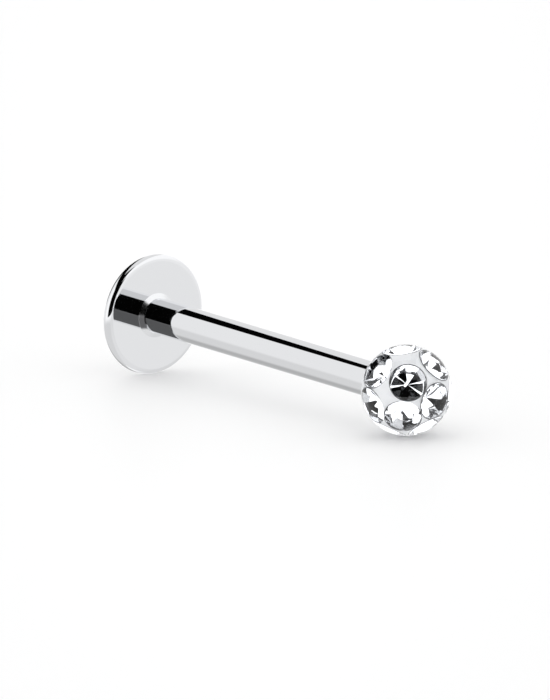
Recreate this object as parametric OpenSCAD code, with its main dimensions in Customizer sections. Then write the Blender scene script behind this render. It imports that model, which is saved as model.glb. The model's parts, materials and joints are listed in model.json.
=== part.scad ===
// Labret stud with a stone-set ball: a flat disc and a straight post turned as one
// piece, and a screw-on resin ball set with clear cut stones under a clear coat.
// It lies on a flat surface, on the rim of its disc and the underside of its ball.
// +X runs from the disc to the ball, +Z is up. All lengths are in millimetres.

/* [Bar] */
// Diameter of the post, 16 gauge
post_d = 1.2; // [1.0:0.1:1.6]
// Length of post between the disc and the ball
wear_len = 12; // [6:1:16]
// Diameter of the disc
disc_d = 4.05; // [3:0.05:5]
// Thickness of the disc, whose rim is rounded over all of it
disc_t = 0.4; // [0.3:0.05:0.8]
// How far the small cone at the foot of the post stands out round it
cone_out = 0.15; // [0.05:0.05:0.2]
// How far that cone reaches along the post
cone_up = 0.1; // [0.05:0.05:0.1]

/* [Thread] */
// Outer diameter of the thread on the end of the post
thread_d = 0.88; // [0.8:0.02:0.88]
// Distance from one turn of the thread to the next
thread_pitch = 0.225; // [0.2:0.025:0.25]
// Number of turns
thread_turns = 5; // [3:1:5]
// Room between the crests of the thread and the plain bore of the barrel
thread_room = 0.02; // [0.01:0.01:0.04]

/* [Ball] */
// Diameter of the finished ball
ball_d = 3; // [2.9:0.05:3.2]
// Diameter of the resin body under the clear coat
resin_d = 2.48; // [2.44:0.02:2.52]
// Diameter of the threaded metal barrel in the ball, across its corners
barrel_d = 1.34; // [1.3:0.02:1.36]

/* [Stones] */
// Diameter of a stone at its girdle
stone_d = 1.15; // [1.0:0.01:1.15]
// Distance from the ball's centre to the middle of a girdle
girdle_reach = 1.25; // [1.22:0.01:1.28]
// Height of the crown above the girdle
crown_h = 0.12; // [0.08:0.01:0.13]
// Depth of the pavilion under the girdle
pavilion_h = 0.48; // [0.4:0.01:0.49]
// Width of the table, across its corners
table_d = 0.66; // [0.5:0.02:0.7]

/* [Fit] */
// Gap between pieces that are set into each other
gap = 0.01; // [0.005:0.005:0.02]

/* [Hidden] */

// Each stone's place on the ball, in degrees: its angle from the end farthest from the
// post, its angle round the post's axis counted from the top towards +Y, and its turn
// about its own axis. The first is the end stone, then a row of five and a row of seven.
STONES = [
    [8, 136, 40],
    [43, -54, 38],
    [51, -128, 18],
    [52, 26, 38],
    [57, 97, 9],
    [57, 167, 32],
    [98, -4, 7],
    [98, -56, 44],
    [99, -107, 8],
    [99, 47, 20],
    [108, 98, 28],
    [106, 151, 14],
    [99, -158, 34]
];

// Facets round the crown and round the pavilion
FACETS = 8;
girdle_t = 0.03;
BARREL_SIDES = 12;
// How far the faceted cones stand outside the round girdle before it trims them
facet_spare = 0.004;

post_r = post_d / 2;
disc_r = disc_d / 2;
ball_r = ball_d / 2;
resin_r = resin_d / 2;
barrel_r = barrel_d / 2;
stone_r = stone_d / 2;
crest_r = thread_d / 2;
root_r = crest_r - thread_pitch * 0.45;
bore_r = crest_r + thread_room;

// The ball's flat seat against the post's shoulder, and its barrel's depth
seat_reach = 1.28;
bore_len = thread_pitch * thread_turns + 0.15;
barrel_floor = 0.18;

// Places along the post's axis, counted from the back of the disc
shoulder_at = disc_t + wear_len;
ball_at = shoulder_at + gap + seat_reach;

// The lean of the post as the stud lies on its rim and its ball
rim_r = disc_r - disc_t / 2;
rim_to_ball = ball_at - disc_t / 2;
lean = acos((ball_r - disc_t / 2) / norm([rim_r, rim_to_ball])) - atan2(rim_to_ball, rim_r);
back_z = ball_r + ball_at * sin(lean);
disc_low_x = disc_t / 2 * cos(lean) - rim_r * sin(lean) - disc_t / 2;
ball_high_x = ball_at * cos(lean) + ball_r;
back_x = -(disc_low_x + ball_high_x) / 2;

// Puts a piece that is drawn along +Z, from the back of the disc, where the stud lies
module as_it_lies() {
    translate([back_x, 0, back_z])
        rotate([0, 90 + lean, 0])
            children();
}

module at_ball() {
    as_it_lies()
        translate([0, 0, ball_at])
            children();
}

module at_stone(i) {
    rotate([0, STONES[i][0], 180 - STONES[i][1]])
        translate([0, 0, girdle_reach])
            rotate([0, 0, STONES[i][2]])
                children();
}

module disc_profile() {
    square([rim_r, disc_t]);
    translate([rim_r, disc_t / 2])
        difference() {
            circle(d = disc_t, $fn = 48);
            translate([-disc_t, -disc_t])
                square([disc_t, 2 * disc_t]);
        }
}

module cone_profile() {
    polygon([[0, disc_t], [post_r + cone_out, disc_t], [post_r, disc_t + cone_up],
        [0, disc_t + cone_up]]);
}

// Half the section of the thread: a ring for each turn, with flat crests
module thread_profile() {
    turn = [[0, 0], [0.3, 1], [0.6, 1], [0.9, 0]];
    rings = [for (i = [0 : thread_turns - 1]) for (p = turn)
        [root_r + p[1] * (crest_r - root_r), shoulder_at + (i + 0.1 + p[0]) * thread_pitch]];
    end_at = shoulder_at + thread_turns * thread_pitch;
    polygon(concat([[0, shoulder_at - gap], [root_r, shoulder_at - gap]], rings,
        [[root_r, end_at], [0, end_at]]));
}

module labret_bar() {
    color("silver")
        as_it_lies()
            rotate_extrude($fn = 96) {
                disc_profile();
                cone_profile();
                square([post_r, shoulder_at]);
                thread_profile();
            }
}

// The barrel's flats keep it from turning in the resin
module threaded_barrel() {
    color("darkgray")
        at_ball()
            translate([0, 0, -seat_reach])
                difference() {
                    cylinder(r = barrel_r, h = bore_len + barrel_floor, $fn = BARREL_SIDES);
                    translate([0, 0, -1])
                        cylinder(r = bore_r, h = bore_len + 1, $fn = 64);
                }
}

// A cut stone with its table up and its girdle round z = 0: eight crown facets and
// eight pavilion facets, trimmed by a round girdle
module cut_stone() {
    corner_r = (stone_r + facet_spare) / cos(180 / FACETS);
    intersection() {
        translate([0, 0, -pavilion_h - 1])
            cylinder(r = stone_r, h = pavilion_h + crown_h + 2, $fn = 48);
        union() {
            translate([0, 0, girdle_t / 2])
                cylinder(r1 = corner_r, r2 = table_d / 2, h = crown_h, $fn = FACETS);
            translate([0, 0, -girdle_t / 2])
                cylinder(r = corner_r, h = girdle_t, $fn = FACETS);
            translate([0, 0, -girdle_t / 2 - pavilion_h])
                cylinder(r1 = 0, r2 = corner_r, h = pavilion_h, $fn = FACETS);
        }
    }
}

// The room that a stone takes up, a little larger than the stone all round
module stone_room() {
    wide_r = stone_r + gap;
    corner = 1 / cos(180 / FACETS);
    shoulder_low = girdle_t / 2 + pavilion_h * (1 - 1 / corner) + gap;
    shoulder_high = girdle_t / 2 + crown_h * (corner - 1) * stone_r / (corner * stone_r - table_d / 2) + gap;
    table_z = girdle_t / 2 + crown_h + gap;
    culet_z = -girdle_t / 2 - pavilion_h - 2 * gap;
    rotate_extrude($fn = 64)
        polygon([[0, culet_z], [wide_r, -shoulder_low], [wide_r, shoulder_high],
            [table_d / 2 + gap, table_z], [0, table_z]]);
}

module all_stone_rooms() {
    for (i = [0 : len(STONES) - 1])
        at_stone(i)
            stone_room();
}

module barrel_room() {
    translate([0, 0, -ball_d])
        cylinder(r = barrel_r + gap, h = ball_d - seat_reach + bore_len + barrel_floor + gap, $fn = BARREL_SIDES);
}

module resin_ball() {
    color("gainsboro")
        at_ball()
            difference() {
                sphere(r = resin_r, $fn = 96);
                all_stone_rooms();
                barrel_room();
            }
}

module clear_coat() {
    color("white", 0.35)
        at_ball()
            difference() {
                sphere(r = ball_r, $fn = 96);
                sphere(r = resin_r + gap, $fn = 96);
                all_stone_rooms();
                barrel_room();
                translate([0, 0, -seat_reach - ball_r])
                    cube(2 * ball_r, center = true);
            }
}

module stone(i) {
    color("lightcyan", 0.6)
        at_ball()
            at_stone(i)
                cut_stone();
}

module stone_01() { stone(0); }
module stone_02() { stone(1); }
module stone_03() { stone(2); }
module stone_04() { stone(3); }
module stone_05() { stone(4); }
module stone_06() { stone(5); }
module stone_07() { stone(6); }
module stone_08() { stone(7); }
module stone_09() { stone(8); }
module stone_10() { stone(9); }
module stone_11() { stone(10); }
module stone_12() { stone(11); }
module stone_13() { stone(12); }

labret_bar();
threaded_barrel();
resin_ball();
stone_01();
stone_02();
stone_03();
stone_04();
stone_05();
stone_06();
stone_07();
stone_08();
stone_09();
stone_10();
stone_11();
stone_12();
stone_13();
clear_coat();
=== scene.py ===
"""A straight labret stud in surgical steel, with a screw-on ball of cut crystals set in resin
under clear epoxy, lying on a pale table in a white tent."""
import json
import math

import bmesh
import bpy
from mathutils import Matrix, Vector


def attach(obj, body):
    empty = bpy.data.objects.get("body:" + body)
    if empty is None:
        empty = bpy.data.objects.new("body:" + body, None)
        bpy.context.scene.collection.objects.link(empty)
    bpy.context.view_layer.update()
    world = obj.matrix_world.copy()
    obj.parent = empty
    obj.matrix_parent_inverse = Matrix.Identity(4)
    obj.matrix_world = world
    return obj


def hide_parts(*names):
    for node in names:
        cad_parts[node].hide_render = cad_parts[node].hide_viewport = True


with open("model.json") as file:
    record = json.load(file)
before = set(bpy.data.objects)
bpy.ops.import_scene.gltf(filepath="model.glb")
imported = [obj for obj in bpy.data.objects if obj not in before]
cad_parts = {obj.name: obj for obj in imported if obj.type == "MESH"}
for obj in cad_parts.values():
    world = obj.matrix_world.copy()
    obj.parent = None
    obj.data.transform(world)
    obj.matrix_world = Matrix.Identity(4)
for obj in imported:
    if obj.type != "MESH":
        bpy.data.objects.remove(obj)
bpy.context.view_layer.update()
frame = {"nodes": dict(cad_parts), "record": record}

# The pieces are drawn in millimetres, along +Z from the back of the disc. One matrix makes
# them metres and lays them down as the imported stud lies.
MM = 0.001
MOUNTS = {mount["name"]: mount for mount in frame["record"]["mounts"]}
BACK = Vector(MOUNTS["disc_back"]["pos_m"])
ALONG = -Vector(MOUNTS["disc_back"]["axis"])
ACROSS = Vector((0, 1, 0))
DOWN = ACROSS.cross(ALONG)
LIE = (
    Matrix.Translation(BACK)
    @ Matrix((DOWN, ACROSS, ALONG)).transposed().to_4x4()
    @ Matrix.Scale(MM, 4)
)
# Turns the post's axis to lie along X, for the patterns that run round it
LEVELLED = Matrix.Rotation(math.atan2(ALONG.z, ALONG.x), 3, "Y").to_euler()
# The gap between pieces that are set into each other
GAP = 0.01
# Points of a mesh that are nearer to each other than this are one
SAME_POINT = 1e-5
# How far a cutting shape stands out past what it cuts
CUT_SPARE = 0.2

# Bar
POST_R = MOUNTS["post"]["dims"]["r_mm"]
WEAR_LEN = 12.0
DISC_R = 2.025
DISC_T = 0.4
# The disc's flats are held flat up to this near the round of the rim
RIM_HOLD = 0.01
# The little cone at the foot of the post: how far it stands out, and its height
CONE_OUT = 0.15
CONE_UP = 0.1
SHOULDER_AT = DISC_T + WEAR_LEN
SHOULDER_BEVEL = 0.03

# Finish of the cone at the foot of the post: its roughness, how sharply it ends, and how far
# under the post's axis the painted shade on it fades in and fades out again. The painted shade
# darkens the cone's colour, so that it mirrors dark.
SATIN = 0.16
SATIN_EDGE = 0.004
UNDERSIDE_SHADE_IN = (-0.42, -0.1)
UNDERSIDE_SHADE_OUT = (0.34, 0.43)
# Marks to a millimetre, along the axis and the two ways across it. The mop's rings are drawn
# far coarser than real ones, so that they show; the barrel's are a fine tool's feed.
MOP_RINGS = (6, 0.6, 0.6)
TOOL_RINGS = (30, 1, 1)
# Paler and darker patches to a millimetre of resin
RESIN_MOTTLE = 3

# Thread, M0.9 with a pitch of 0.225
THREAD_R = 0.44
PITCH = 0.225
TURNS = 5
ROOT_R = THREAD_R - 0.45 * PITCH
# How far it runs into the post, and how much its very tip is thinned
THREAD_SUNK = 0.05
TIP_THINNED = 0.03

# Ball
BALL_R = 1.5
RESIN_R = 1.37
# From the ball's centre to its flat seat against the post's shoulder
SEAT_REACH = 1.28
BALL_AT = SHOULDER_AT + GAP + SEAT_REACH
# The barrel, and the room for it, which ends past the ball's centre
BARREL_R = 0.67
BARREL_FLATS = 12
ROOM_R = BARREL_R + GAP
ROOM_END = BALL_AT + 0.31

# Stones: angle from the far end, angle round the axis from the top towards +Y, own turn, and
# how far each was set askew about its two level axes, all in degrees
STONES = [
    (8, 136, 40, -2, 6),
    (43, -54, 38, 0, 0),
    (51, -128, 18, 1, -5.5),
    (52, 26, 38, 4, 4),
    (57, 97, 9, 0, 0),
    (57, 167, 32, 0, 0),
    (98, -4, 7, -1, 0),
    (98, -56, 44, 2, -3),
    (99, -107, 8, -5, -5),
    (99, 47, 20, 0, 0),
    (108, 98, 28, 0, 0),
    (106, 151, 14, 0, 0),
    (99, -158, 34, 0, 0),
]
FACETS = 8
STONE_R = 0.575
# The facets are cut a little past the girdle, which is then ground round by small flats
FACET_SPARE = 0.004
GIRDLE_FLATS = 48
CORNER_R = (STONE_R + FACET_SPARE) / math.cos(math.pi / FACETS)
# From the ball's centre to the middle of a girdle
GIRDLE_REACH = 1.25
GIRDLE_T = 0.03
CROWN_H = 0.12
PAVILION_H = 0.48
TABLE_R = 0.33
# A facet whose normal points down by more than this is a back facet
BACK_FACET = -0.1

# Seats in the resin: the room round a stone, the ledge round its mouth and that ledge's
# height, the bead on the ledge and that bead's height, and how far the seat is open upwards.
# The ledge and the bead are painted dark grey, a painted shadow line round the girdle.
# Heights are counted from the middle of the girdle.
SEAT_GAP = 0.006
LEDGE = 0.026
LEDGE_Z = -0.03
BEAD_R = 0.014
BEAD_Z = -0.02
SEAT_OPEN = 0.4
SEAT_STEPS = 64

# Camera, set so that the disc and the ball stand where the photograph has them
CAM_AZ = 51.525
CAM_EL = 10.923
PX_PER_MM = 30.448
IMAGE_W, IMAGE_H = 550, 700
BALL_PX = (406.5, 390.1)
LENS = 1150
SENSOR = 36


def linear(hex_colour):
    """An sRGB colour such as #d8dadc, as linear red, green, blue and alpha."""
    values = [int(hex_colour[i : i + 2], 16) / 255 for i in (1, 3, 5)]
    low = [v / 12.92 for v in values]
    high = [((v + 0.055) / 1.055) ** 2.4 for v in values]
    return [lo if v <= 0.04045 else hi for v, lo, hi in zip(values, low, high)] + [1]


def add(tree, kind, settings=None, **inputs):
    """Adds a node. An input is a value, or what it is linked from: a node, which stands for its
    first output, or a socket. Inputs without a name of their own go by number, such as _0."""
    made = tree.nodes.new(kind)
    for name, value in (settings or {}).items():
        setattr(made, name, value)
    for name, value in inputs.items():
        key = int(name[1:]) if name[0] == "_" else name.replace("_", " ")
        if isinstance(value, bpy.types.Node):
            value = value.outputs[0]
        if isinstance(value, bpy.types.NodeSocket):
            tree.links.new(value, made.inputs[key])
        else:
            made.inputs[key].default_value = value
    return made


def new_material(name):
    """A material whose nodes are still to be added, and its tree."""
    material = bpy.data.materials.new(name)
    material.use_nodes = True
    material.node_tree.nodes.clear()
    return material, material.node_tree


def polished_steel():
    """Surgical steel, turned and then mirror-polished: bright, with hair-fine rings left by the
    mop round the bar, which only soften the reflections a little. The mop doesn't quite reach
    the little cone at the disc, which stays satin. Most of the cone's round is painted darker,
    as painted shade that darkens what it mirrors; only its top and its lowest edge stay bright."""
    material, tree = new_material("polished_surgical_steel")
    place = add(tree, "ShaderNodeTexCoord").outputs["Object"]

    def distance(way):
        """How far a point is from the middle of the disc's back along a way, in millimetres."""
        start = add(
            tree, "ShaderNodeVectorMath", {"operation": "SUBTRACT"}, _0=place, _1=tuple(BACK)
        )
        dot = {"operation": "DOT_PRODUCT"}
        run = add(tree, "ShaderNodeVectorMath", dot, _0=start, _1=tuple(way / MM))
        return run.outputs["Value"]

    lathe = add(tree, "ShaderNodeMapping", Vector=place, Rotation=LEVELLED)
    rings = add(tree, "ShaderNodeMapping", Vector=lathe, Scale=[n / MM for n in MOP_RINGS])
    hairs = add(tree, "ShaderNodeTexNoise", Vector=rings, Scale=1, Detail=3)
    polish = add(tree, "ShaderNodeMapRange", Value=hairs, To_Min=0.02, To_Max=0.05)
    along = distance(ALONG)
    off_disc = add(
        tree, "ShaderNodeMapRange", Value=along, From_Min=DISC_T, From_Max=DISC_T + SATIN_EDGE
    )
    cone_top = DISC_T + CONE_UP
    cone = add(
        tree,
        "ShaderNodeMapRange",
        Value=along,
        From_Min=cone_top,
        From_Max=cone_top + SATIN_EDGE,
        To_Min=off_disc,
        To_Max=0,
    )
    below = distance(DOWN)
    lower_part = add(
        tree,
        "ShaderNodeMapRange",
        Value=below,
        From_Min=UNDERSIDE_SHADE_OUT[0],
        From_Max=UNDERSIDE_SHADE_OUT[1],
        To_Min=cone,
        To_Max=0,
    )
    # Painted shade: darkens the cone's colour from a little above the post's axis to near its
    # lowest edge
    painted_shade = add(
        tree,
        "ShaderNodeMapRange",
        Value=below,
        From_Min=UNDERSIDE_SHADE_IN[0],
        From_Max=UNDERSIDE_SHADE_IN[1],
        To_Min=0,
        To_Max=lower_part,
    )
    tone = add(
        tree,
        "ShaderNodeMix",
        {"data_type": "RGBA"},
        _0=painted_shade,
        _6=linear("#f0f1f3"),
        _7=linear("#6e6e70"),
    )
    steel = add(
        tree,
        "ShaderNodeBsdfPrincipled",
        Base_Color=tone.outputs[2],
        Metallic=1,
        Roughness=add(tree, "ShaderNodeMix", _0=cone, _2=polish, _3=SATIN),
    )
    add(tree, "ShaderNodeOutputMaterial", Surface=steel)
    return material


def turned_steel():
    """Plain turned steel for the barrel: greyer, with the tool's rings left in it."""
    material, tree = new_material("turned_barrel_steel")
    place = add(tree, "ShaderNodeTexCoord").outputs["Object"]
    lathe = add(tree, "ShaderNodeMapping", Vector=place, Rotation=LEVELLED)
    rings = add(tree, "ShaderNodeMapping", Vector=lathe, Scale=[n / MM for n in TOOL_RINGS])
    marks = add(tree, "ShaderNodeTexNoise", Vector=rings, Scale=1, Detail=2)
    steel = add(
        tree,
        "ShaderNodeBsdfPrincipled",
        Base_Color=linear("#c4c5c7"),
        Metallic=1,
        Roughness=add(tree, "ShaderNodeMapRange", Value=marks, To_Min=0.2, To_Max=0.4),
    )
    add(tree, "ShaderNodeOutputMaterial", Surface=steel)
    return material


def cast_resin():
    """Pale filled resin, cast round the stones: satin, very slightly mottled."""
    material, tree = new_material("cast_pale_resin")
    place = add(tree, "ShaderNodeTexCoord").outputs["Object"]
    mottle = add(tree, "ShaderNodeTexNoise", Vector=place, Scale=RESIN_MOTTLE / MM, Detail=3)
    tone = add(
        tree,
        "ShaderNodeMix",
        {"data_type": "RGBA"},
        _0=mottle,
        _6=linear("#e4e6e8"),
        _7=linear("#f2f3f4"),
    )
    resin = add(
        tree,
        "ShaderNodeBsdfPrincipled",
        Base_Color=tone.outputs[2],
        Roughness=0.35,
        IOR=1.5,
    )
    add(tree, "ShaderNodeOutputMaterial", Surface=resin)
    return material


def clear_epoxy():
    """Cured clear epoxy, poured and polished: water-clear and wet-looking."""
    material, tree = new_material("clear_epoxy")
    epoxy = add(
        tree,
        "ShaderNodeBsdfPrincipled",
        Base_Color=linear("#fdfdfe"),
        Transmission_Weight=1,
        Roughness=0,
        IOR=1.5,
    )
    add(tree, "ShaderNodeOutputMaterial", Surface=epoxy)
    return material


def cut_crystal():
    """Cut lead crystal, seen from the epoxy that it lies in: the index is crystal's 1.56
    over epoxy's 1.5, so the crown shows only faintly."""
    material, tree = new_material("cut_crystal")
    crystal = add(
        tree,
        "ShaderNodeBsdfPrincipled",
        Base_Color=linear("#fdfdfe"),
        Transmission_Weight=1,
        Roughness=0,
        IOR=1.04,
    )
    add(tree, "ShaderNodeOutputMaterial", Surface=crystal)
    return material


def silver_foil():
    """The silvering laid on the back facets: a true mirror, seen through the crystal."""
    material, tree = new_material("silver_foil")
    foil = add(
        tree,
        "ShaderNodeBsdfPrincipled",
        Base_Color=linear("#f6f7f8"),
        Metallic=1,
        Roughness=0.01,
    )
    add(tree, "ShaderNodeOutputMaterial", Surface=foil)
    return material


def girdle_shadow_paint():
    """Dark grey, matt: a painted shadow, laid on the ledge and the bead round each girdle, where
    it shows as a thin dark line."""
    material, tree = new_material("girdle_shadow_paint")
    shadow_paint = add(
        tree,
        "ShaderNodeBsdfPrincipled",
        Base_Color=linear("#4a4c50"),
        Roughness=0.4,
    )
    add(tree, "ShaderNodeOutputMaterial", Surface=shadow_paint)
    return material


def arc(centre, radius, start, end, steps):
    """Points (radius, height) along an arc, with its angles in degrees from the outward side."""
    angles = [math.radians(start + (end - start) * i / steps) for i in range(steps + 1)]
    return [(centre[0] + radius * math.cos(a), centre[1] + radius * math.sin(a)) for a in angles]


def turned(profile, steps=192):
    """A turned piece: the outline of (radius, height) points, spun once round Z."""
    bm = bmesh.new()
    verts = [bm.verts.new((r, 0, z)) for r, z in profile]
    edges = [bm.edges.new(pair) for pair in zip(verts, verts[1:])]
    bmesh.ops.spin(
        bm, geom=verts + edges, axis=(0, 0, 1), angle=math.tau, steps=steps, use_merge=True
    )
    bmesh.ops.remove_doubles(bm, verts=bm.verts, dist=SAME_POINT)
    bmesh.ops.recalc_face_normals(bm, faces=bm.faces)
    return bm


def cut_off(bm, point, side):
    """Cuts away all that lies past a point on one side, and leaves the cut open."""
    bmesh.ops.bisect_plane(
        bm,
        geom=bm.verts[:] + bm.edges[:] + bm.faces[:],
        plane_co=point,
        plane_no=side,
        clear_outer=True,
    )


def joined(bm, other):
    """Adds the other mesh's faces to bm, and lets the other go."""
    held = bpy.data.meshes.new("held")
    other.to_mesh(held)
    other.free()
    bm.from_mesh(held)
    bpy.data.meshes.remove(held)


def in_scene(bm, name, materials):
    """Makes an object of the scene from a drawn mesh and its materials, and lets bm go."""
    mesh = bpy.data.meshes.new(name)
    bm.to_mesh(mesh)
    bm.free()
    for material in materials:
        mesh.materials.append(material)
    made = bpy.data.objects.new(name, mesh)
    bpy.context.scene.collection.objects.link(made)
    return made


def piece(bm, name, body, materials, smooth_under=30):
    """Lays the drawn mesh down as a piece of the stud, on its body and with its finish. Faces
    that meet at less than smooth_under degrees are shaded as one curve."""
    bm.transform(LIE)
    made = in_scene(bm, name, materials)
    for face in made.data.polygons:
        face.use_smooth = smooth_under > 0
    if smooth_under > 0:
        made.data.set_sharp_from_angle(angle=math.radians(smooth_under))
    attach(made, body)
    return made


def screw_thread():
    """The thread on the end of the post: one turn's flanks carried round as a helix with spare
    turns, cut off square at both ends and closed, and thinned towards its tip."""
    steps_a_turn = 48
    spun_turns = TURNS + 3
    bm = bmesh.new()
    # Radius and share of the pitch, for two flanks and the flat crest between them
    turn = [(ROOT_R, 0), (THREAD_R, 0.4), (THREAD_R, 0.6), (ROOT_R, 1)]
    first = SHOULDER_AT - 2 * PITCH
    verts = [bm.verts.new((r, 0, first + z * PITCH)) for r, z in turn]
    edges = [bm.edges.new(pair) for pair in zip(verts, verts[1:])]
    bmesh.ops.spin(
        bm,
        geom=verts + edges,
        axis=(0, 0, 1),
        dvec=(0, 0, PITCH / steps_a_turn),
        angle=math.tau * spun_turns,
        steps=steps_a_turn * spun_turns,
    )
    bmesh.ops.remove_doubles(bm, verts=bm.verts, dist=10 * SAME_POINT)
    tip = SHOULDER_AT + TURNS * PITCH
    cut_off(bm, (0, 0, SHOULDER_AT - THREAD_SUNK), (0, 0, -1))
    cut_off(bm, (0, 0, tip), (0, 0, 1))
    bmesh.ops.holes_fill(bm, edges=[e for e in bm.edges if e.is_boundary])
    for vert in bm.verts:
        reach = vert.co.xy.length
        allowed = ROOT_R - TIP_THINNED + max(tip - vert.co.z, 0)
        if reach > allowed:
            vert.co.xy *= allowed / reach
    bmesh.ops.recalc_face_normals(bm, faces=bm.faces)
    return bm


def steel_bar(steel):
    """The disc with its round rim, the cone at the foot of the post, the post and the threaded
    end, turned in one piece."""
    rim_r = DISC_R - DISC_T / 2
    outline = [(0, 0), (rim_r - RIM_HOLD, 0)]
    outline += arc((rim_r, DISC_T / 2), DISC_T / 2, -90, 90, steps=32)
    outline += [(rim_r - RIM_HOLD, DISC_T), (POST_R + CONE_OUT, DISC_T)]
    outline += [(POST_R, DISC_T + CONE_UP)]
    outline += [(POST_R, SHOULDER_AT - SHOULDER_BEVEL), (POST_R - SHOULDER_BEVEL, SHOULDER_AT)]
    outline += [(0, SHOULDER_AT)]
    bm = turned(outline)
    joined(bm, screw_thread())
    bar = piece(bm, "steel_bar", "bar", [steel])
    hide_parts("labret_bar")


def stone_place(polar, around, turn, lean_x, lean_y):
    """Where a stone sits, in the drawn frame: its table faces out of the ball."""
    return (
        Matrix.Translation((0, 0, BALL_AT))
        @ Matrix.Rotation(math.radians(180 - around), 4, "Z")
        @ Matrix.Rotation(math.radians(polar), 4, "Y")
        @ Matrix.Translation((0, 0, GIRDLE_REACH))
        @ Matrix.Rotation(math.radians(lean_x), 4, "X")
        @ Matrix.Rotation(math.radians(lean_y), 4, "Y")
        @ Matrix.Rotation(math.radians(turn), 4, "Z")
    )


def cut_stone():
    """One stone with its girdle round Z = 0: a table, eight crown facets, a round girdle and
    eight back facets that meet in a point. The back facets are the foiled ones."""
    bm = bmesh.new()
    bmesh.ops.create_cone(
        bm,
        cap_ends=True,
        segments=FACETS,
        radius1=CORNER_R,
        radius2=TABLE_R,
        depth=CROWN_H,
        matrix=Matrix.Translation((0, 0, (GIRDLE_T + CROWN_H) / 2)),
    )
    bottom = min(bm.faces, key=lambda f: f.calc_center_median().z)
    girdle = bmesh.ops.extrude_face_region(bm, geom=[bottom])
    moved = [g for g in girdle["geom"] if isinstance(g, bmesh.types.BMVert)]
    bmesh.ops.translate(bm, verts=moved, vec=(0, 0, -GIRDLE_T))
    low = [g for g in girdle["geom"] if isinstance(g, bmesh.types.BMFace)]
    culet = bmesh.ops.poke(bm, faces=low)
    for vert in culet["verts"]:
        vert.co = (0, 0, -GIRDLE_T / 2 - PAVILION_H)
    bmesh.ops.delete(bm, geom=[bottom], context="FACES_ONLY")
    for i in range(GIRDLE_FLATS):
        angle = math.tau * (i + 0.5) / GIRDLE_FLATS
        outward = Vector((math.cos(angle), math.sin(angle), 0))
        cut_off(bm, outward * STONE_R, outward)
        bmesh.ops.holes_fill(bm, edges=[e for e in bm.edges if e.is_boundary])
    bmesh.ops.remove_doubles(bm, verts=bm.verts, dist=SAME_POINT)
    bmesh.ops.recalc_face_normals(bm, faces=bm.faces)
    for face in bm.faces:
        face.material_index = 1 if face.normal.z < BACK_FACET else 0
    return bm


def stones(*materials):
    """The thirteen stones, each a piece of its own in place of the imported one."""
    for number, row in enumerate(STONES, 1):
        bm = cut_stone()
        bm.transform(stone_place(*row))
        name = f"stone_{number:02d}"
        made = piece(bm, f"crystal_{number:02d}", "ball", materials, 0)
        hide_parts(name)


def seats():
    """What the resin is hollowed by: a cone for each stone, wide enough for the corners
    between its facets, with a narrow ledge whose faces carry the painted shadow round the girdle,
    and the barrel's room."""
    wide = STONE_R + SEAT_GAP
    culet = -GIRDLE_T / 2 - PAVILION_H - SEAT_GAP
    edge = culet + PAVILION_H * wide / CORNER_R
    outer = wide + LEDGE
    cone = [(0, culet), (wide, edge), (wide, LEDGE_Z), (outer, LEDGE_Z)]
    cone += [(outer, SEAT_OPEN), (0, SEAT_OPEN)]
    cutter = bmesh.new()
    for row in STONES:
        bm = turned(cone, SEAT_STEPS)
        # The ledge's faces are painted dark grey: a painted shadow line round the girdle
        for face in bm.faces:
            if all(abs(vert.co.z - LEDGE_Z) < SAME_POINT for vert in face.verts):
                face.material_index = 1
        bm.transform(stone_place(*row))
        joined(cutter, bm)
    outside = BALL_AT - BALL_R - CUT_SPARE
    room = [(0, outside), (ROOM_R, outside), (ROOM_R, ROOM_END), (0, ROOM_END)]
    joined(cutter, turned(room, BARREL_FLATS))
    return cutter


def resin_body(*materials):
    """The pale resin ball under the clear coat, with a seat for every stone, and in each seat's
    mouth a dark grey bead round the stone's girdle, painted as a shadow line."""
    ball = bmesh.new()
    bmesh.ops.create_uvsphere(
        ball,
        u_segments=160,
        v_segments=80,
        radius=RESIN_R,
        matrix=Matrix.Translation((0, 0, BALL_AT)),
    )
    body = in_scene(ball, "resin_solid", materials)
    tool = in_scene(seats(), "resin_cut", materials)
    boolean = body.modifiers.new("seats", "BOOLEAN")
    boolean.operation = "DIFFERENCE"
    boolean.solver = "EXACT"
    boolean.use_self = True
    boolean.object = tool
    depsgraph = bpy.context.evaluated_depsgraph_get()
    carved = bmesh.new()
    carved.from_object(body, depsgraph)
    for used in (body, tool):
        mesh = used.data
        bpy.data.objects.remove(used)
        bpy.data.meshes.remove(mesh)
    bmesh.ops.remove_doubles(carved, verts=carved.verts, dist=SAME_POINT)
    round_stone = STONE_R + FACET_SPARE + BEAD_R
    for row in STONES:
        bead = turned(arc((round_stone, BEAD_Z), BEAD_R, 0, 360, steps=8), SEAT_STEPS)
        # The bead is painted dark grey: a painted shadow line round the girdle
        for face in bead.faces:
            face.material_index = 1
        bead.transform(stone_place(*row))
        joined(carved, bead)
    made = piece(carved, "resin_body", "ball", materials)
    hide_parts("resin_ball")


def epoxy_coat(epoxy):
    """The clear coat: the finished round of the ball with its flat seat for the post, closed
    round the barrel inside the resin."""
    seat = -math.degrees(math.asin(SEAT_REACH / BALL_R))
    outline = [(0, ROOM_END), (ROOM_R, ROOM_END), (ROOM_R, BALL_AT - SEAT_REACH)]
    outline += arc((0, BALL_AT), BALL_R, seat, 90, steps=96)
    made = piece(turned(outline), "epoxy_coat", "ball", [epoxy])
    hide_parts("clear_coat")


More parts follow.
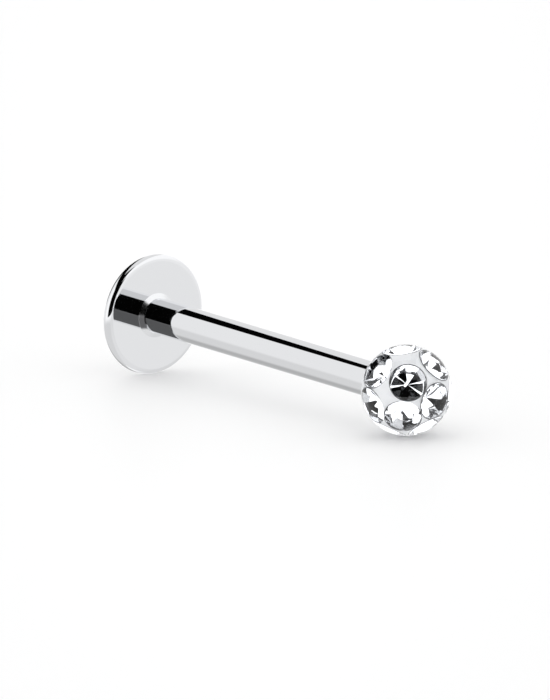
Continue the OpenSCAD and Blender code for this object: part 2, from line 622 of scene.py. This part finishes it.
def camera():
    """A very long lens, far off: the photograph shows almost no perspective."""
    azimuth, elevation = math.radians(CAM_AZ), math.radians(CAM_EL)
    right = Vector((math.cos(azimuth), math.sin(azimuth), 0))
    back = Vector((math.sin(azimuth), -math.cos(azimuth), math.tan(elevation))).normalized()
    up = back.cross(right)
    ball = LIE @ Vector((0, 0, BALL_AT))
    beside = (BALL_PX[0] - IMAGE_W / 2) / PX_PER_MM * MM
    below = (BALL_PX[1] - IMAGE_H / 2) / PX_PER_MM * MM
    aim = ball - right * beside + up * below
    distance = IMAGE_H / PX_PER_MM * MM * LENS / SENSOR
    data = bpy.data.cameras.new("camera")
    data.lens = LENS
    data.sensor_width = SENSOR
    data.clip_start = distance * 0.1
    data.clip_end = distance * 10
    made = bpy.data.objects.new("camera", data)
    made.matrix_world = Matrix.Translation(aim + back * distance) @ Matrix(
        (right, up, back)
    ).transposed().to_4x4()
    bpy.context.scene.collection.objects.link(made)
    bpy.context.scene.camera = made


# What the white tent shows round the stud, as seen from it: a name, who sees it, azimuth from
# the camera towards its right, elevation, half width, half height, soft edge (degrees) and
# brightness. Later rows lie over earlier ones. "ball" is only what is seen through the ball,
# "steel" leaves that out, and "twice" is only what one part of the stud mirrors in another.
WALLS = [
    ("left wall", "all", -120, 20, 32, 70, 16, 0.89),
    ("right wall below", "all", 85, -8, 62, 30, 20, 0.92),
    ("floor", "all", -50, -52, 120, 40, 12, 0.74),
    ("floor on the right", "all", 60, -52, 40, 38, 24, 0.82),
    ("floor behind on the right", "all", 125, -45, 45, 22, 20, 0.75),
    ("floor behind", "all", -155, -50, 26, 20, 18, 0.48),
    ("dark room in front", "all", -6, 17, 36, 19, 1.5, 0.001),
    ("foot of the dark room", "steel", -6, -4, 36, 2.5, 1.5, 0.001),
    ("dark band behind", "steel", -150, 14, 24, 11, 4, 0.02),
    ("dark band behind, upper part", "steel", -143, 28, 15, 8, 4, 0.02),
    ("right front", "twice", 54, 36, 18, 16, 6, 0.73),
    ("dark room, lower and wider", "twice", -3, 15, 40, 29, 1.5, 0.001),
    ("dark table in front", "twice", 6, -30.5, 51, 16.5, 2, 0.11),
]
# The tent's ceiling, with a dark gap on both sides of its white roof and in front of it:
# middle and half size towards the camera's right and towards the camera, soft edge (all in
# heights of the ceiling above the stud) and brightness
CEILING = [
    ("dark gaps", "all", -0.29, -1.35, 0.62, 2.75, 0.03, 0.001),
    ("white roof", "ball", -0.13, -9.85, 0.33, 10.15, 0.03, 0.82),
]
# A look that rises by less than this is taken to meet the ceiling no farther off
LOWEST_LOOK = 0.01
# The roof as the steel mirrors it is a card near enough for its edges to run across the post
# at a slant: its height over the table and its sides towards the camera's right and towards
# the camera, in millimetres
ROOF_UP = 32
ROOF_SIDES = (-13.4, 8)
ROOF_ENDS = (-640, 4.4)
ROOF_WHITE = 0.82
# Brightness of the tent's plain cloth, how many times brighter the tent is to what is seen
# through the ball, and the even light on matt surfaces, in the open and under the clear coat
TENT_WHITE = 1.08
THROUGH_BALL = 2.2
EVEN = 1.12
IN_RESIN = 1.85


def tent():
    """The surroundings: white all round, with the dark room where the camera looks in. The
    camera itself sees plain white, and matt surfaces take an even light."""
    world = bpy.data.worlds.new("white_tent")
    bpy.context.scene.world = world
    world.use_nodes = True
    tree = world.node_tree
    tree.nodes.clear()
    azimuth = math.radians(CAM_AZ)
    way = add(tree, "ShaderNodeTexCoord").outputs["Generated"]
    sums = ("SUBTRACT", "MULTIPLY", "DIVIDE", "MULTIPLY_ADD", "GREATER_THAN", "MAXIMUM")
    minus, times, over, times_plus, exceeds, larger = [{"operation": name} for name in sums]

    def towards(direction):
        """How far one step of the look goes in a direction."""
        dot = {"operation": "DOT_PRODUCT"}
        return add(tree, "ShaderNodeVectorMath", dot, _0=way, _1=direction).outputs["Value"]

    def within(value, middle, half, soft, wraps=False):
        """1 inside a stretch and 0 outside it, with a soft edge; an angle may wrap round."""
        off = add(tree, "ShaderNodeMath", minus, _0=value, _1=middle)
        if wraps:
            wrap = {"operation": "WRAP"}
            off = add(tree, "ShaderNodeMath", wrap, _0=off, _1=math.pi, _2=-math.pi)
        return add(
            tree,
            "ShaderNodeMapRange",
            {"interpolation_type": "SMOOTHSTEP"},
            Value=add(tree, "ShaderNodeMath", {"operation": "ABSOLUTE"}, _0=off),
            From_Min=half - soft / 2,
            From_Max=half + soft / 2,
            To_Min=1,
            To_Max=0,
        )

    side = towards((math.cos(azimuth), math.sin(azimuth), 0))
    front = towards((math.sin(azimuth), -math.cos(azimuth), 0))
    height = towards((0, 0, 1))
    turn = add(tree, "ShaderNodeMath", {"operation": "ARCTAN2"}, _0=side, _1=front)
    rise = add(tree, "ShaderNodeMath", {"operation": "ARCSINE"}, _0=height)
    above = add(tree, "ShaderNodeMath", larger, _0=height, _1=LOWEST_LOOK)
    rightwards = add(tree, "ShaderNodeMath", over, _0=side, _1=above)
    nearer = add(tree, "ShaderNodeMath", over, _0=front, _1=above)

    # A depth counts the mirrors or matt surfaces that a look has met, so 1.5 asks for two
    ray = add(tree, "ShaderNodeLightPath").outputs
    ball = ray["Is Transmission Ray"]
    steel = add(tree, "ShaderNodeMath", minus, _0=1, _1=ball)
    two_mirrors = add(tree, "ShaderNodeMath", exceeds, _0=ray["Glossy Depth"], _1=1.5)
    twice = add(tree, "ShaderNodeMath", times, _0=two_mirrors, _1=steel)
    matt = add(tree, "ShaderNodeMath", exceeds, _0=ray["Diffuse Depth"], _1=0.5)
    seen_by = {"all": None, "ball": ball, "steel": steel, "twice": twice}

    layers = []
    for name, who, *sizes, bright in WALLS:
        az, el, half_az, half_el, soft = map(math.radians, sizes)
        sideways, upwards = within(turn, az, half_az, soft, True), within(rise, el, half_el, soft)
        layers.append((name, who, sideways, upwards, bright))
    for name, who, x, y, half_x, half_y, soft, bright in CEILING:
        sideways, lengthways = within(rightwards, x, half_x, soft), within(nearer, y, half_y, soft)
        layers.append((name, who, sideways, lengthways, bright))
    shade = TENT_WHITE
    for name, who, one_way, other_way, bright in layers:
        mask = add(tree, "ShaderNodeMath", times, _0=one_way, _1=other_way)
        if seen_by[who]:
            mask = add(tree, "ShaderNodeMath", times, _0=mask, _1=seen_by[who])
        shade = add(tree, "ShaderNodeMix", {"label": name}, _0=mask, _2=shade, _3=bright)

    power = add(tree, "ShaderNodeMath", times_plus, _0=ball, _1=THROUGH_BALL - 1, _2=1)
    studio = add(tree, "ShaderNodeBackground", Color=shade, Strength=power)
    matt_power = add(tree, "ShaderNodeMath", times_plus, _0=ball, _1=IN_RESIN - EVEN, _2=EVEN)
    even = add(tree, "ShaderNodeBackground", Color=(1, 1, 1, 1), Strength=matt_power)
    plain = add(tree, "ShaderNodeMath", larger, _0=matt, _1=ray["Is Camera Ray"])
    chosen = add(tree, "ShaderNodeMixShader", _0=plain, _1=studio, _2=even)
    add(tree, "ShaderNodeOutputWorld", Surface=chosen)


def roof_card():
    """The tent's roof as the steel mirrors it."""
    material, tree = new_material("lit_white_roof")
    glow = add(tree, "ShaderNodeEmission", Strength=ROOF_WHITE)
    add(tree, "ShaderNodeOutputMaterial", Surface=glow)
    bm = bmesh.new()
    bmesh.ops.create_grid(bm, x_segments=1, y_segments=1, size=0.5)
    middle = Vector((sum(ROOF_SIDES) / 2, -sum(ROOF_ENDS) / 2, ROOF_UP))
    size = Matrix.Diagonal((ROOF_SIDES[1] - ROOF_SIDES[0], ROOF_ENDS[1] - ROOF_ENDS[0], 1, 1))
    bm.transform(
        Matrix.Rotation(math.radians(CAM_AZ), 4, "Z")
        @ Matrix.Scale(MM, 4)
        @ Matrix.Translation(middle)
        @ size
    )
    made = in_scene(bm, "roof_card", [material])
    made.visible_camera = False
    made.visible_diffuse = False
    made.visible_transmission = False
    made.visible_shadow = False


def table_top():
    """The pale matt table that the stud lies on, a metre each way from it."""
    material, tree = new_material("matt_white_card")
    card = add(
        tree,
        "ShaderNodeBsdfPrincipled",
        Base_Color=linear("#fafafa"),
        Roughness=0.5,
        Specular_IOR_Level=0.2,
    )
    add(tree, "ShaderNodeOutputMaterial", Surface=card)
    bm = bmesh.new()
    bmesh.ops.create_grid(bm, x_segments=1, y_segments=1, size=1)
    made = in_scene(bm, "table_top", [material])
    made.visible_glossy = False
    made.visible_transmission = False


bpy.context.scene.view_settings.view_transform = "Standard"
# Light goes from mirror to mirror in a stone more often than the usual four times
bpy.context.scene.cycles.glossy_bounces = 8
camera()
tent()
roof_card()
table_top()

steel_bar(polished_steel())
stones(cut_crystal(), silver_foil())
resin_body(cast_resin(), girdle_shadow_paint())
epoxy_coat(clear_epoxy())

barrel = frame["nodes"]["threaded_barrel"]
barrel.data.materials.clear()
barrel.data.materials.append(turned_steel())
